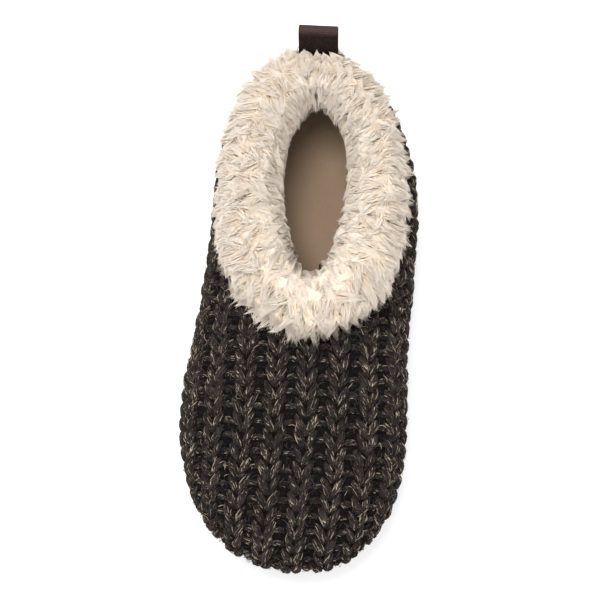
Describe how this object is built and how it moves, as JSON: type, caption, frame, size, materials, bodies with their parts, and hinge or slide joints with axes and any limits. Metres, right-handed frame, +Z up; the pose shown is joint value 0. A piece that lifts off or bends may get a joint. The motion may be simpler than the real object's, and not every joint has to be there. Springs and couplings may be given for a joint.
{
  "type": "knitted slipper",
  "caption": "Closed house slipper for a right foot: ribbed knit upper, deep pile collar and lining, soft footbed, rubber sole and a ribbon pull loop at the heel.",
  "frame": {"origin": "middle of the bounding box in plan, on the floor that the sole stands on", "axes": "+Z up, -Y to the toe and +Y to the heel, +X to the inner side of the foot"},
  "size_m": [0.1112, 0.2573, 0.0898],
  "materials": {
    "rubber": "matt dark brown-black rubber",
    "footbed": "smooth taupe microsuede",
    "knit": "chunky ribbed knit in charcoal-brown yarn with light flecks",
    "pile": "deep cream pile in soft locks",
    "ribbon": "fine ribbed dark brown ribbon"
  },
  "bodies": {
    "root": {"outsole": "rubber", "insole": "footbed", "upper": "knit", "fur_collar": "pile", "pull_loop": "ribbon"}
  },
  "joints": []
}
